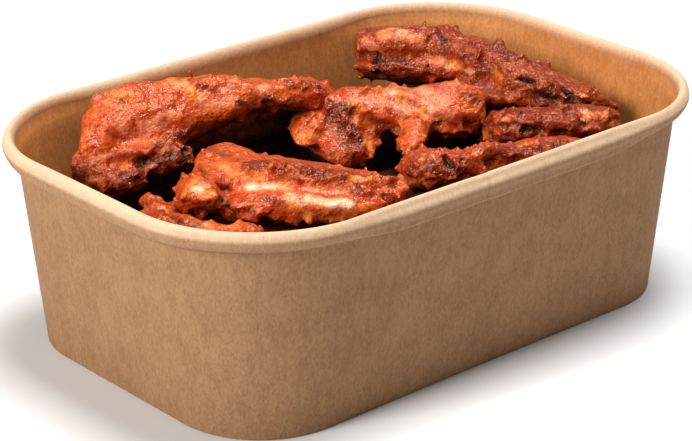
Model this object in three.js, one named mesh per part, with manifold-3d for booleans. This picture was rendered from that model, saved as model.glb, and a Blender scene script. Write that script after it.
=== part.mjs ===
// A kraft paper food tray with rounded corners and a rolled rim, heaped with roast chicken wings in a spicy
// sauce. Millimetres, +Z up, origin at the middle of the tray's foot. X runs along the tray and Y across
// it. The wall is one sheet: rolled outwards at the rim and folded inwards at the foot, where it grips the
// base's skirt. Every wing is a union of lobes, which are bent and tapered egg shapes for its meat, skin
// flaps and bone ends.
import * as THREE from "three";
import { mergeVertices } from "three/addons/utils/BufferGeometryUtils.js";
import Module from "manifold-3d";

const wasm = await Module();
wasm.setup();

// ---------------------------------------------------------------- driving dimensions

const SHEET = 0.5; // thickness of the kraft board
const GAP = 0.3; // clearance between pieces that touch
const RIM = { length: 172, width: 113.8, corner: 36.3, bow: 1.4, height: 56 }; // over the rolled rim
const FOOT = { length: 151.3, width: 98, corner: 24.8, bow: -0.8 }; // `bow`: how far the long sides stand out
// The rim's rolled section: its size at a corner, what the middle of a short and of a long side adds to
// it, and the angle where it ends.
const ROLL = { width: 3, height: 5.2, widthGain: 0.8, shortGain: 0.8, longGain: 1.8, end: -120 };
// Distances from the tray's middle between which the roll swells: along X on a long side, Y on a short one.
const SWELL = { long: [57, 33], short: [50, 8] };
// Where the wall turns up into the roll: below the top, and inside the rim's edge.
const FLARE = { drop: 5.9, inset: 3.5 };
const HEM = { height: 3.2, slot: SHEET + 2 * GAP }; // the fold at the foot, and the slot for the base's skirt
const BASE = { underside: HEM.height + GAP, thickness: 0.6 };

const CORNER_STEPS = 8;
const LONG_STEPS = 6;
const SHORT_STEPS = 4;
const ROLL_STEPS = 8;

const LOBE_STEPS = { around: 12, along: 9 };
const LUMP = { size: 9, height: 1.1 }; // the meat's own unevenness: width and height of its lumps

const COLOUR = {
  kraft: 0xc49a6c,
  kraftInside: 0xb98a5a,
  glazed: 0xa83a1c,
  crumbly: 0x8a2c18,
  pale: 0xc4672f,
};

// ---------------------------------------------------------------- noise

// A random value from -1 to 1 for each point of an integer grid.
function gridValue(ix, iy, iz, seed) {
  let h = Math.imul(ix, 0x8da6b343) ^ Math.imul(iy, 0xd8163841) ^ Math.imul(iz, 0xcb1ab31f);
  h ^= Math.imul(seed, 0x165667b1);
  h = Math.imul(h ^ (h >>> 13), 0x85ebca6b);
  h ^= h >>> 16;
  return (h >>> 0) / 2 ** 31 - 1;
}

// Smooth noise from -1 to 1: the grid's values, blended inside each cell by smoothstep.
function smoothNoise(point, cell, seed) {
  const scaled = point.clone().divideScalar(cell);
  const low = scaled.clone().floor();
  const part = scaled.sub(low);
  const ease = (t) => t * t * (3 - 2 * t);
  let sum = 0;
  for (const [dx, dy, dz] of [0, 1, 2, 3, 4, 5, 6, 7].map((n) => [n & 1, (n >> 1) & 1, n >> 2])) {
    const share = [part.x, part.y, part.z].map(ease).map((t, axis) => ([dx, dy, dz][axis] ? t : 1 - t));
    sum += share[0] * share[1] * share[2] * gridValue(low.x + dx, low.y + dy, low.z + dz, seed);
  }
  return sum;
}

// ---------------------------------------------------------------- solids

function solidOf(geometry) {
  const bare = geometry.clone();
  bare.deleteAttribute("normal");
  bare.deleteAttribute("uv");
  const merged = mergeVertices(bare, 1e-4);
  const mesh = new wasm.Mesh({
    numProp: 3,
    vertProperties: new Float32Array(merged.attributes.position.array),
    triVerts: new Uint32Array(merged.index.array),
  });
  return new wasm.Manifold(mesh);
}

function geometryOf(solid) {
  const mesh = solid.getMesh();
  const geometry = new THREE.BufferGeometry();
  geometry.setAttribute("position", new THREE.BufferAttribute(new Float32Array(mesh.vertProperties), 3));
  geometry.setIndex(new THREE.BufferAttribute(new Uint32Array(mesh.triVerts), 1));
  geometry.computeVertexNormals();
  return geometry;
}

// A cut can leave loose scraps: only the largest piece is kept.
function largestPiece(solid) {
  return solid.decompose().reduce((best, piece) => (piece.volume() > best.volume() ? piece : best));
}

function geometryFrom(points, triangles) {
  const geometry = new THREE.BufferGeometry();
  geometry.setAttribute("position", new THREE.Float32BufferAttribute(points.flatMap((p) => p.toArray()), 3));
  geometry.setIndex(triangles);
  return geometry;
}

// A surface through rings of equally many points, each ring counter-clockwise as the next one sees it. The
// first and last rings meet when there are no `ends`, and are otherwise each closed by a fan to an end
// point.
function skinOverRings(rings, ends = null) {
  const n = rings[0].length;
  const points = rings.flat();
  const triangles = [];
  const bands = ends ? rings.length - 1 : rings.length;
  for (let r = 0; r < bands; r++) {
    const next = (r + 1) % rings.length;
    for (let i = 0; i < n; i++) {
      const j = (i + 1) % n;
      const [a, b, c, d] = [r * n + i, r * n + j, next * n + i, next * n + j];
      triangles.push(a, b, d, a, d, c);
    }
  }
  if (ends) {
    const last = (rings.length - 1) * n;
    for (let i = 0; i < n; i++) {
      const j = (i + 1) % n;
      triangles.push(j, i, points.length, last + i, last + j, points.length + 1);
    }
    points.push(...ends);
  }
  return geometryFrom(points, triangles);
}

function centreOf(ring) {
  return ring.reduce((sum, p) => sum.add(p), new THREE.Vector3()).divideScalar(ring.length);
}

// ---------------------------------------------------------------- the tray

// A rounded rectangle with bowed long sides, counter-clockwise, as points with outward normals. Every
// outline has the same number of points, so any two can be joined.
function outline({ length, width, corner, bow }) {
  const points = [];
  const centre = { x: length / 2 - corner, y: width / 2 - corner };
  const add = (x, y, angle) => {
    const normal = new THREE.Vector2(Math.cos(angle), Math.sin(angle));
    const alongSide = Math.max(0, 1 - ((2 * x) / length) ** 2);
    const bowed = y + Math.sign(y) * normal.y ** 2 * bow * alongSide;
    points.push({ x, y: bowed, normal });
  };
  const corners = [[1, 1], [-1, 1], [-1, -1], [1, -1]];
  corners.forEach(([sx, sy], k) => {
    for (let s = 0; s <= CORNER_STEPS; s++) {
      const angle = (k + s / CORNER_STEPS) * (Math.PI / 2);
      add(sx * centre.x + corner * Math.cos(angle), sy * centre.y + corner * Math.sin(angle), angle);
    }
    const [nx, ny] = corners[(k + 1) % 4];
    const steps = k % 2 === 0 ? LONG_STEPS : SHORT_STEPS;
    const angle = (k + 1) * (Math.PI / 2);
    const reach = { x: corner * Math.cos(angle), y: corner * Math.sin(angle) };
    for (let s = 1; s < steps; s++) {
      const t = s / steps;
      add(
        THREE.MathUtils.lerp(sx, nx, t) * centre.x + reach.x,
        THREE.MathUtils.lerp(sy, ny, t) * centre.y + reach.y,
        angle,
      );
    }
  });
  return points;
}

const FOOT_LINE = outline(FOOT);
const RIM_LINE = outline(RIM);

// The section of the rolled rim at one point of the rim's line: slimmest at a corner.
function rollSize({ x, y }) {
  const near = (distance, [far, close]) => 1 - THREE.MathUtils.smoothstep(distance, close, far);
  const long = near(Math.abs(x), SWELL.long);
  const short = near(Math.abs(y), SWELL.short);
  return {
    width: ROLL.width + ROLL.widthGain * Math.max(long, short),
    height: ROLL.height + ROLL.longGain * long + ROLL.shortGain * short,
  };
}

// The ring at height z, `out` mm outside the wall's outer face. That face slopes straight from the foot to
// the flare, turns there towards the roll's inner side, and is upright above the middle of the roll.
// `place` gives z and `out` from the roll's size at each station.
function ringAt(place) {
  const flareZ = RIM.height - FLARE.drop;
  return FOOT_LINE.map((foot, i) => {
    const rim = RIM_LINE[i];
    const roll = rollSize(rim);
    const { z, out } = place(roll);
    const rise = Math.min(z / flareZ, 1);
    const turnIn = THREE.MathUtils.clamp((z - flareZ) / (FLARE.drop - roll.height / 2), 0, 1);
    const inset = THREE.MathUtils.lerp(FLARE.inset, roll.width - SHEET, turnIn);
    return new THREE.Vector3(
      THREE.MathUtils.lerp(foot.x, rim.x - rim.normal.x * inset, rise) + rim.normal.x * out,
      THREE.MathUtils.lerp(foot.y, rim.y - rim.normal.y * inset, rise) + rim.normal.y * out,
      z,
    );
  });
}

// A point of the rolled rim's section, `inset` mm inside its outer face, with 180 degrees on the wall's side.
function rollPoint(angle, inset) {
  const turn = THREE.MathUtils.degToRad(angle);
  return ({ width, height }) => ({
    z: RIM.height - height / 2 + (height / 2 - inset) * Math.sin(turn),
    out: width / 2 - SHEET + (width / 2 - inset) * Math.cos(turn),
  });
}

function wallGeometry() {
  const angles = Array.from({ length: ROLL_STEPS + 1 }, (_, i) => 180 + ((ROLL.end - 180) * i) / ROLL_STEPS);
  const hemOuter = -(SHEET + HEM.slot);
  const profile = [
    () => ({ z: 0, out: 0 }),
    () => ({ z: RIM.height - FLARE.drop, out: 0 }),
    ...angles.map((a) => rollPoint(a, SHEET)),
    ...angles.map((a) => rollPoint(a, 0)).reverse(),
    () => ({ z: RIM.height - FLARE.drop, out: -SHEET }),
    () => ({ z: SHEET, out: -SHEET }),
    () => ({ z: SHEET, out: hemOuter }),
    () => ({ z: HEM.height, out: hemOuter }),
    () => ({ z: HEM.height, out: hemOuter - SHEET }),
    () => ({ z: 0, out: hemOuter - SHEET }),
  ];
  return skinOverRings(profile.map(ringAt));
}

function baseGeometry() {
  const skirtOuter = -(SHEET + GAP);
  const skirtInner = skirtOuter - SHEET;
  const top = BASE.underside + BASE.thickness;
  const profile = [
    { z: BASE.underside, out: skirtInner },
    { z: SHEET + GAP, out: skirtInner },
    { z: SHEET + GAP, out: skirtOuter },
    { z: top, out: skirtOuter },
  ];
  const rings = profile.map((p) => ringAt(() => p));
  return skinOverRings(rings, [centreOf(rings[0]), centreOf(rings[rings.length - 1])]);
}

// The room inside the tray, open upwards, that every wing stays in.
function roomSolid() {
  const floor = BASE.underside + BASE.thickness + GAP;
  const levels = [floor, RIM.height - FLARE.drop, RIM.height * 1.6];
  const inside = -(SHEET + GAP);
  const rings = levels.map((z) => ringAt(() => ({ z, out: inside })));
  return solidOf(skinOverRings(rings, [centreOf(rings[0]), centreOf(rings[rings.length - 1])]));
}

// ---------------------------------------------------------------- wings

// One lobe: an egg shape whose axis runs from one end to the other along an arc, lifted by `arch` at its
// middle. Its section is a rounded box `width` by `height`, each given at both ends, turned by `roll`
// degrees about the axis. `blunt` is 1 for a pointed egg and goes down towards 0 for a square-ended one.
// `grow` swells it by that many mm.
function lobeGeometry(lobe, { seed, steps = LOBE_STEPS }, grow = 0) {
  const { from, to, arch = [0, 0, 0], width, height, roll = 0, blunt = 0.62 } = lobe;
  const start = new THREE.Vector3(...from);
  const end = new THREE.Vector3(...to);
  const middle = start.clone().lerp(end, 0.5).addScaledVector(new THREE.Vector3(...arch), 2);
  const axis = new THREE.QuadraticBezierCurve3(start, middle, end);
  const length = end.clone().sub(start);
  const stretch = grow / length.length();
  const turn = THREE.MathUtils.degToRad(roll);
  const up = new THREE.Vector3(0, 0, 1);
  const rings = [];
  for (let r = 1; r < steps.along; r++) {
    const v = (Math.PI * r) / steps.along;
    const along = (1 - Math.cos(v)) / 2;
    const centre = axis.getPoint(along).addScaledVector(length, (along * 2 - 1) * stretch);
    const tangent = axis.getTangent(along);
    const side = up.clone().cross(tangent).normalize();
    const rise = tangent.clone().cross(side);
    const across = side.clone().multiplyScalar(Math.cos(turn)).addScaledVector(rise, Math.sin(turn));
    const upward = rise.clone().multiplyScalar(Math.cos(turn)).addScaledVector(side, -Math.sin(turn));
    const full = Math.sin(v) ** blunt;
    const halfWidth = (THREE.MathUtils.lerp(width[0], width[1], along) / 2) * full;
    const halfHeight = (THREE.MathUtils.lerp(height[0], height[1], along) / 2) * full;
    const ring = [];
    for (let i = 0; i < steps.around; i++) {
      const a = (2 * Math.PI * i) / steps.around;
      const round = (t) => Math.sign(t) * Math.abs(t) ** 0.85;
      const offset = across
        .clone()
        .multiplyScalar(halfWidth * round(Math.cos(a)))
        .addScaledVector(upward, halfHeight * round(Math.sin(a)));
      const place = centre.clone().add(offset);
      const swell = LUMP.height * full * smoothNoise(place, LUMP.size, seed) + grow;
      ring.push(place.addScaledVector(offset.normalize(), swell));
    }
    rings.push(ring);
  }
  const before = start.clone().addScaledVector(length, -stretch);
  const after = end.clone().addScaledVector(length, stretch);
  return skinOverRings(rings, [before, after]);
}

function wingSolid(wing, grow = 0) {
  return wing.lobes
    .map((lobe) => solidOf(lobeGeometry(lobe, wing, grow)))
    .reduce((sum, lobe) => sum.add(lobe));
}

// The wings that show, the uppermost first: each is cut clear of those above it in this list.
const WINGS = [
  {
    name: "wing_left_skin_on",
    colour: COLOUR.glazed,
    seed: 11,
    lobes: [
      {
        from: [-52, 41, 51], to: [-11.5, 25, 54.5],
        width: [14, 12], height: [25.5, 11.5], roll: -40, blunt: 0.36,
      },
      { from: [-46, 43.5, 53], to: [-59, 32.5, 47], width: [11, 9], height: [11, 9], roll: 0, blunt: 0.42 },
      { from: [-22.5, 36, 53], to: [9, 21.5, 50], width: [17, 15], height: [11.5, 9], roll: -33, blunt: 0.5 },
      {
        from: [-5.5, 32.5, 52], to: [13, 23, 47],
        width: [22, 20], height: [9.5, 11], roll: -20, blunt: 0.45,
      },
      {
        from: [-61, 38.5, 43], to: [-34.5, 24.5, 44],
        width: [16, 12], height: [11, 9.5], roll: -24, blunt: 0.45,
      },
      {
        from: [-61, 32.5, 41], to: [-48.5, 24.5, 41],
        width: [14, 11], height: [9, 7], roll: -23, blunt: 0.5,
      },
      { from: [-46, 40, 44], to: [11, 31, 43], width: [16, 15], height: [13, 12], roll: 0, blunt: 0.5 },
    ],
  },
  {
    name: "wing_middle",
    colour: COLOUR.glazed,
    seed: 23,
    lobes: [
      { from: [5, 18.5, 48], to: [40, -8, 47], width: [11, 11], height: [13, 16], roll: -43, blunt: 0.42 },
      { from: [10, 21, 46], to: [4, 4, 37], width: [24, 17], height: [13, 7], roll: 0, blunt: 0.5 },
      { from: [5, 23, 46], to: [-6.5, 12, 42], width: [11, 9], height: [5, 4], roll: 0, blunt: 0.55 },
      { from: [21.5, 0, 45], to: [10, -8.5, 41], width: [9, 5], height: [7, 2.5], roll: 0, blunt: 0.5 },
      { from: [14.5, 17.5, 40], to: [40, -3, 40], width: [14, 12], height: [10, 10], roll: -23, blunt: 0.45 },
      { from: [20, 22, 41], to: [48, 0, 41], width: [16, 14], height: [16, 14], roll: 0, blunt: 0.5 },
    ],
  },
  {
    name: "wing_back_right",
    colour: COLOUR.crumbly,
    seed: 37,
    lobes: [
      {
        from: [38.5, 44, 51.5], to: [60.5, 24.5, 51.5],
        width: [28, 28], height: [11.5, 13.5], roll: -23, blunt: 0.4,
      },
      {
        from: [39, 42, 45.5], to: [58, 14, 45.5],
        width: [28, 28], height: [7.5, 9.5], roll: -24, blunt: 0.45,
      },
      {
        from: [54.5, 34, 49.5], to: [66.5, -5, 46.5],
        width: [31, 31], height: [14.5, 14], roll: -28, blunt: 0.45,
      },
      {
        from: [58.5, 6.5, 46.5], to: [71.5, -23, 44],
        width: [31, 25], height: [14, 7.5], roll: -27, blunt: 0.5,
      },
      {
        from: [51, 13.5, 43], to: [67, -15.5, 42],
        width: [25, 25], height: [9.5, 8.5], roll: -25, blunt: 0.45,
      },
      {
        from: [50.5, 37.5, 36.5], to: [68, 8, 34.5],
        width: [31, 31], height: [13, 12], roll: -25, blunt: 0.5,
      },
    ],
  },
  {
    name: "wing_front",
    colour: COLOUR.pale,
    seed: 41,
    lobes: [
      {
        from: [-45.5, 7, 44.5], to: [-10, -31, 43],
        width: [31, 25], height: [19, 12], roll: -23, blunt: 0.45,
      },
      {
        from: [-55.5, 3.5, 45], to: [-46, -5, 44.5],
        width: [25, 28], height: [10, 13], roll: -23, blunt: 0.45,
      },
      {
        from: [-33.5, 12.5, 49], to: [-43.5, -8, 46],
        width: [17, 21], height: [6, 12.5], roll: 0, blunt: 0.5,
      },
      {
        from: [-40.5, -2.5, 50], to: [-10, -29.5, 46],
        width: [11, 10], height: [6, 4.5], roll: -23, blunt: 0.45,
      },
      {
        from: [-49.5, -5, 42.5], to: [-9.5, -28, 38.5],
        width: [31, 31], height: [12, 11.5], roll: -22, blunt: 0.45,
      },
      {
        from: [-47, 4, 35], to: [-7.5, -25.5, 33.5],
        width: [34, 31], height: [13, 13], roll: -23, blunt: 0.45,
      },
    ],
  },
  {
    name: "wing_right_crumbly",
    colour: COLOUR.crumbly,
    seed: 53,
    lobes: [
      {
        from: [35.5, -11, 42.5], to: [66, -29.5, 42.5],
        width: [31, 31], height: [12, 11.5], roll: -23, blunt: 0.42,
      },
      {
        from: [38.5, -12, 44], to: [42.5, -19.5, 45],
        width: [20, 20], height: [7, 8], roll: -22, blunt: 0.5,
      },
      {
        from: [39.5, -9, 35.5], to: [67.5, -26.5, 35.5],
        width: [31, 28], height: [11.5, 11], roll: -23, blunt: 0.45,
      },
    ],
  },
  {
    name: "wing_front_right",
    colour: COLOUR.glazed,
    seed: 67,
    lobes: [
      {
        from: [0, -17.5, 42], to: [15, -28.5, 43],
        width: [25, 24], height: [13, 11.5], roll: -23, blunt: 0.5,
      },
      {
        from: [9.5, -24, 41.5], to: [48, -36.5, 42],
        width: [28, 25], height: [13, 9], roll: -25, blunt: 0.45,
      },
      { from: [8, -31, 47], to: [22, -34.5, 47], width: [11, 10], height: [8, 7], roll: -26, blunt: 0.5 },
    ],
  },
  {
    name: "wing_front_left",
    colour: COLOUR.glazed,
    seed: 71,
    lobes: [
      {
        from: [-68.5, 2.5, 42], to: [-52.5, -27, 42],
        width: [14, 14], height: [7.5, 7], roll: -24, blunt: 0.45,
      },
      {
        from: [-58.5, 9.5, 42.5], to: [-60, -6, 41],
        width: [8, 11], height: [3.5, 6], roll: -41, blunt: 0.5,
      },
    ],
  },
];

// The wings underneath, of which only glimpses show, are one fused heap: four lie across the tray's floor,
// three rows of two lie along it on top of them, the near long wall has one row more, and one wing lies at
// the far wall.
const UNDERNEATH = {
  name: "wings_underneath",
  seed: 83,
  steps: { around: 9, along: 7 },
  size: { width: [40, 34], height: [19, 17] },
  across: { xs: [-54, -18, 18, 54], reach: 44, z: 13 },
  along: { ys: [-30, 0, 30], reach: 68, overlap: 12, z: 24 },
  near: { y: -39, reach: 60, overlap: 6, z: 34, size: { width: [24, 22], height: [17, 15] } },
  far: { from: [-60, 36, 32], to: [17, 35, 31], width: [14, 14], height: [20, 20] },
  jitter: { side: 5, height: 2 },
};

function underneathLobes() {
  const { size, across, along, near, far, jitter } = UNDERNEATH;
  const draw = (n, reach) => reach * gridValue(n, 3, 5, UNDERNEATH.seed);
  const lower = across.xs.map((x, n) => ({
    from: [x + draw(n, jitter.side), -across.reach, across.z],
    to: [x + draw(n + 10, jitter.side), across.reach, across.z],
    ...size,
  }));
  const upper = along.ys.flatMap((y, n) =>
    [-1, 1].map((end) => {
      const sides = [n + 20, n + 40 + end].map((k) => y + draw(k, jitter.side));
      const heights = [n + 30, n + 50 + end].map((k) => along.z + draw(k, jitter.height));
      return {
        from: [-end * along.overlap, sides[0], heights[0]],
        to: [end * along.reach, sides[1], heights[1]],
        ...size,
      };
    }),
  );
  const nearest = [-1, 1].map((end) => ({
    from: [-end * near.overlap, near.y, near.z + draw(60 + end, jitter.height)],
    to: [end * near.reach, near.y, near.z + draw(70 + end, jitter.height)],
    ...near.size,
  }));
  return [...lower, ...upper, ...nearest, far];
}

// ---------------------------------------------------------------- assembly

function mesh(name, geometry, colour, roughness) {
  const material = new THREE.MeshStandardMaterial({ color: colour, roughness, metalness: 0 });
  const made = new THREE.Mesh(geometry, material);
  made.name = name;
  return made;
}

const tray = new THREE.Group();
tray.add(mesh("tray_wall", wallGeometry(), COLOUR.kraft, 0.85));
tray.add(mesh("tray_base", baseGeometry(), COLOUR.kraftInside, 0.85));

const food = new THREE.Group();
const room = roomSolid();
const above = [];
const heap = { ...UNDERNEATH, colour: COLOUR.crumbly, lobes: underneathLobes() };
for (const wing of [...WINGS, heap]) {
  const clear = above.reduce((solid, other) => solid.subtract(other), wingSolid(wing).intersect(room));
  food.add(mesh(wing.name, geometryOf(largestPiece(clear)), wing.colour, 0.4));
  above.push(wingSolid(wing, GAP));
}

const part = new THREE.Group();
part.add(tray, food);

export default part;
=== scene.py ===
"""A kraft paper food tray heaped with roast chicken wings in a spicy sauce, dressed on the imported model.

Shapes are worked out in millimetres and put into the meshes in metres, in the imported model's frame.
"""
import math

import bpy
import numpy as np
from mathutils import Matrix, Vector


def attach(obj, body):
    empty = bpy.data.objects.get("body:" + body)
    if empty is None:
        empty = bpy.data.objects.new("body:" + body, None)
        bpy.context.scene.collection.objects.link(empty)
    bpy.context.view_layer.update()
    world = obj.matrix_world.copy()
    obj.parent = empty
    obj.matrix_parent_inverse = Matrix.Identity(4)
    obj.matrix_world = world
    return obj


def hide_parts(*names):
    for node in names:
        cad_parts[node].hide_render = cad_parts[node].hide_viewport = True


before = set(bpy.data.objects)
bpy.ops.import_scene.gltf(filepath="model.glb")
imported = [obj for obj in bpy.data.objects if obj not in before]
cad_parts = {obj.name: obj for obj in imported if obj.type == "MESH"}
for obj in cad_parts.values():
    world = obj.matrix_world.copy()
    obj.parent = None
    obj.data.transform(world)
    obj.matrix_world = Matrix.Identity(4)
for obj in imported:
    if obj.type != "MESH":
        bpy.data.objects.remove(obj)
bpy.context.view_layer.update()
MM = 0.001

# ---------------- sizes of the tray

SHEET = 0.5
RIM = dict(length=172, width=113.8, corner=36.3, bow=1.4)
RIM_HEIGHT = 56
FOOT = dict(length=151.3, width=98, corner=24.8, bow=-0.8)

# The rolled rim's section at a corner, what it gains along the sides, and how far from the tray's middle the
# gain is none and full.
ROLL = dict(width=3, height=5.2, width_gain=0.8, short_gain=0.8, long_gain=1.8)
SWELL = dict(long=(57, 33), short=(50, 8))
ROLL_END = -120

# The roll on the long sides is flattened between its top and its front, with a groove and a thin lip below:
# the angle and spread of each, and how far it stands out.
LIP = ((46, 24, -0.4), (-24, 16, -0.25), (-52, 9, 0.5))
WAVE_HEIGHT, WAVE_LENGTH, WAVE_SEED = 0.12, 17, 5  # the roll's own unevenness
CRUMPLES = (-11.2, -9.6, -8.3)  # where the near rim is creased, along X
CRUMPLE_WIDTH, CRUMPLE_DEPTH = 0.4, 0.6

# The angles of the roll between which its tone turns into the inside's, and its pale tone starts and ends.
# The pale tone is painted light, full on the roll's top; its front and its hollow are pale only by these.
INSIDE_TONE_FROM, PALE_FROM, PALE_TO = (95, 150), (0, 26), (200, 110)
FRONT_PALE, HOLLOW_PALE = 0.1, 0.4

# Rings of the wall: heights between the foot and the flare, and steps from the flare on its two faces.
FLARE_DROP, FLARE_INSET = 5.9, 3.5
WALL_HEIGHTS = (4, 20, 36)
OUTER_STEPS, INNER_STEPS = (-1.2, 0, 0.6), (1.4, 0.7, 0, -2)
HEM_HEIGHT, HEM_SLOT = 3.2, 1.1
BASE_UNDERSIDE, BASE_THICKNESS, BASE_GAP = 3.5, 0.6, 0.3
CORNER_STEPS, LONG_STEPS, SHORT_STEPS, ROLL_STEPS = 34, 110, 34, 61
SHARP_FROM = math.radians(50)  # the board's edges that turn by more than this stay sharp

# ---------------- the wings

# A lobe is (from, to, width at both ends, height at both ends, roll in degrees, bluntness). A mark of fat,
# pale skin (partly painted highlights), deep red sauce, crust or dark painted shade (in holes, creases and
# under edges) is a stretch of the skin from one point to another, and its radius. A knob is a point and a
# radius. A dent is a mark with its depth.
WINGS = {}
WINGS["wing_left_skin_on"] = dict(
    slot="glazed_skin", seed=11,
    lobes=[((-52, 41, 51), (-11.5, 25, 54.5), (14, 12), (25.5, 11.5), -40, 0.36),
        ((-46, 43.5, 53), (-59, 32.5, 47), (11, 9), (11, 9), 0, 0.42),
        ((-22.5, 36, 53), (9, 21.5, 50), (17, 15), (11.5, 9), -33, 0.5),
        ((-5.5, 32.5, 52), (13, 23, 47), (22, 20), (9.5, 11), -20, 0.45),
        ((-61, 38.5, 43), (-34.5, 24.5, 44), (16, 12), (11, 9.5), -24, 0.45),
        ((-61, 32.5, 41), (-48.5, 24.5, 41), (14, 11), (9, 7), -23, 0.5),
        ((-46, 40, 44), (11, 31, 43), (16, 15), (13, 12), 0, 0.5)],
    fat=[(-33, 37, 60.5, -30.5, 32, 60.5, 2), (-49, 40, 58.5, -44.5, 37, 59.5, 1.5),
        (-30.5, 30, 59.5, -29, 27.5, 57.5, 1.5)],
    pale=[(-27.5, 25.5, 55.5, -22, 23.5, 56, 2), (-44.5, 30, 52, -37.5, 28, 54.5, 1.5),
        (-43.5, 28.5, 51, -40.5, 28, 52.5, 1), (-59.5, 32, 47, -55, 29.5, 47.5, 1),
        (-22, 25.5, 58.5, -10.5, 24, 56.5, 1.5), (-44, 29.5, 52, -39.5, 28, 53, 1),
        (-49, 25, 43.5, -47.5, 24, 43.5, 1.5), (-59, 25.5, 44, -56.5, 23.5, 43.5, 1),
        (-62, 33.5, 43.5, -61, 32.5, 42.5, 1), (-49.5, 34, 54, -48.5, 32, 51.5, 1.5)],
    deep=[(-62, 34.5, 43, -55, 22.5, 42, 3.5), (-61.5, 33, 45.5, -56, 29, 45.5, 1),
        (-55, 29.5, 47, -47.5, 25.5, 48, 1), (-49, 42, 59, -45.5, 36, 58, 1),
        (-45.5, 32, 54, -36, 29, 56.5, 1), (-35, 25.5, 50, -20, 23, 50.5, 1.5),
        (-4.5, 20, 51.5, 0.5, 20.5, 48, 1.5)],
    crust=[(-44, 26, 48.5, -34, 25.5, 49.5, 1.5), (-3, 22, 56.5, 5.5, 18, 53, 2.5),
        (-62, 36, 43, -56, 23, 42, 5), (-55, 23.5, 43.5, -37.5, 22, 44, 4.5),
        (-12.5, 23, 53.5, -2, 19, 51, 2), (-51, 23.5, 44, -37.5, 22.5, 42.5, 2.5),
        (-26, 28, 59.5, -25, 27, 59, 1.5)],
    dark=[(-23.5, 29, 45, -13, 28, 45, 1.5), (-11.5, 28, 45.5, 2, 27, 44.5, 2),
        (-47.5, 25.5, 47.5, -37, 23.5, 47, 1.5), (-49.5, 25.5, 45.5, -37.5, 22.5, 46, 1.5),
        (-62.5, 28, 41, -52, 24, 39, 1.5), (-11.5, 23, 52.5, -1.5, 24, 47.5, 1.5),
        (-19.5, 22, 54.5, -11.5, 23, 52.5, 1.5)],
    knobs=[(-50.5, 42.5, 58, 1), (-53.5, 39.5, 55.5, 0.5), (-49, 43, 59, 1), (-61, 38, 43.5, 1),
        (-60.5, 35.5, 47, 1), (-5, 25, 57.5, 1), (-2.5, 22, 57, 1), (1.5, 19.5, 55, 1), (4, 17.5, 52, 1.5),
        (2, 17.5, 49.5, 1), (-46, 41, 60, 1), (-36.5, 37.5, 60.5, 1), (-25.5, 28.5, 60, 1),
        (-11.5, 23, 51.5, 1), (-52, 22.5, 40.5, 1), (-61, 25.5, 41.5, 1)],
    dents=[(-45.5, 31.5, 53.5, -36, 29, 56, 1.5, 0.3), (-49, 41.5, 59, -45.5, 36, 58, 1, 0.6),
        (-49.5, 25.5, 45.5, -37, 22.5, 46, 1, 1.4), (-46, 30, 51, -39.5, 27.5, 52.5, 2.5, 0.5),
        (-30.5, 30.5, 60, -35, 28.5, 56.5, 1, 0.6), (-50.5, 32, 49.5, -43.5, 28.5, 49.5, 1.5, 0.5)])
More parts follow.
